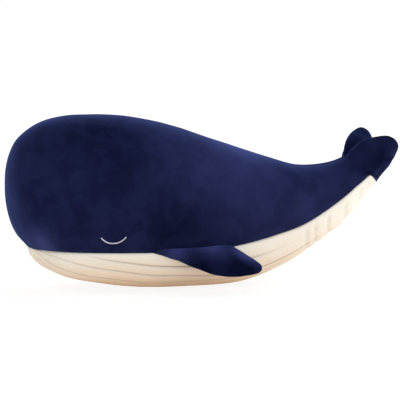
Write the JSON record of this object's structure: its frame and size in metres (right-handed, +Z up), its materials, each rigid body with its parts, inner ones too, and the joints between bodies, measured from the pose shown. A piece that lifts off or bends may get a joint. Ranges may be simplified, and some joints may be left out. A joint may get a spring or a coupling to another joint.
{
  "type": "plush whale toy",
  "caption": "Stuffed velour whale with navy sides, a cream belly with sewn grooves, sleeping eyes, flippers and a raised tail; it lies on its belly.",
  "frame": {"origin": "on the floor, under the middle of the toy's length and width", "axes": "+Z up, +X towards the tail so the nose points to -X, +Y towards the whale's right side"},
  "size_m": [0.6062, 0.2998, 0.2657],
  "materials": {
    "navy_velour": "matte short-pile velour",
    "cream_velour": "matte short-pile velour",
    "fibre_fill": "matte fibre stuffing",
    "eye_thread": "satin embroidery thread",
    "navy_thread": "matte sewing thread",
    "cream_thread": "matte sewing thread"
  },
  "bodies": {
    "body": {"right_side_panel": "navy_velour", "left_side_panel": "navy_velour", "belly_panel": "cream_velour", "body_stuffing": "fibre_fill", "right_eye_embroidery": "eye_thread", "left_eye_embroidery": "eye_thread", "back_seam_thread": "navy_thread", "right_belly_seam_thread": "navy_thread", "left_belly_seam_thread": "navy_thread", "right_groove_thread_1": "cream_thread", "right_groove_thread_2": "cream_thread", "right_groove_thread_3": "cream_thread", "right_groove_thread_4": "cream_thread", "left_groove_thread_1": "cream_thread", "left_groove_thread_2": "cream_thread", "left_groove_thread_3": "cream_thread", "left_groove_thread_4": "cream_thread"},
    "tail": {"right_tail_side_panel": "navy_velour", "left_tail_side_panel": "navy_velour", "tail_belly_panel": "cream_velour", "tail_stuffing": "fibre_fill", "tail_back_seam_thread": "navy_thread", "right_tail_seam_thread": "navy_thread", "left_tail_seam_thread": "navy_thread", "right_tail_groove_thread_1": "cream_thread", "right_tail_groove_thread_2": "cream_thread", "right_tail_groove_thread_3": "cream_thread", "right_tail_groove_thread_4": "cream_thread", "left_tail_groove_thread_1": "cream_thread", "left_tail_groove_thread_2": "cream_thread", "left_tail_groove_thread_3": "cream_thread", "left_tail_groove_thread_4": "cream_thread"},
    "right_flipper": {"right_flipper_upper_panel": "navy_velour", "right_flipper_lower_panel": "navy_velour", "right_flipper_stuffing": "fibre_fill"},
    "left_flipper": {"left_flipper_upper_panel": "navy_velour", "left_flipper_lower_panel": "navy_velour", "left_flipper_stuffing": "fibre_fill"},
    "right_fluke": {"right_fluke_outer_panel": "navy_velour", "right_fluke_inner_panel": "navy_velour", "right_fluke_stuffing": "fibre_fill"},
    "left_fluke": {"left_fluke_outer_panel": "navy_velour", "left_fluke_inner_panel": "navy_velour", "left_fluke_stuffing": "fibre_fill"}
  },
  "joints": [
    {"name": "tail_bend", "type": "hinge", "parent": "body", "child": "tail", "pos_m": [0.1604, 0, 0.1079], "axis": [0, 1, 0], "range_deg": [-12, 12], "stiffness_Nm_per_rad": 4},
    {"name": "right_flipper_flap", "type": "hinge", "parent": "body", "child": "right_flipper", "pos_m": [-0.10254, 0.11356, 0.06499], "axis": [0.9926, -0.12, 0.0172], "range_deg": [-10, 30], "stiffness_Nm_per_rad": 0.3},
    {"name": "left_flipper_flap", "type": "hinge", "parent": "body", "child": "left_flipper", "pos_m": [-0.10254, -0.11356, 0.06499], "axis": [-0.9926, -0.12, -0.0172], "range_deg": [-10, 30], "stiffness_Nm_per_rad": 0.3},
    {"name": "right_fluke_flap", "type": "hinge", "parent": "tail", "child": "right_fluke", "pos_m": [0.272, 0.0164, 0.17627], "axis": [0.7701, 0, -0.6379], "range_deg": [-15, 15], "stiffness_Nm_per_rad": 0.3},
    {"name": "left_fluke_flap", "type": "hinge", "parent": "tail", "child": "left_fluke", "pos_m": [0.272, -0.0164, 0.17627], "axis": [-0.7701, 0, 0.6379], "range_deg": [-15, 15], "stiffness_Nm_per_rad": 0.3}
  ]
}
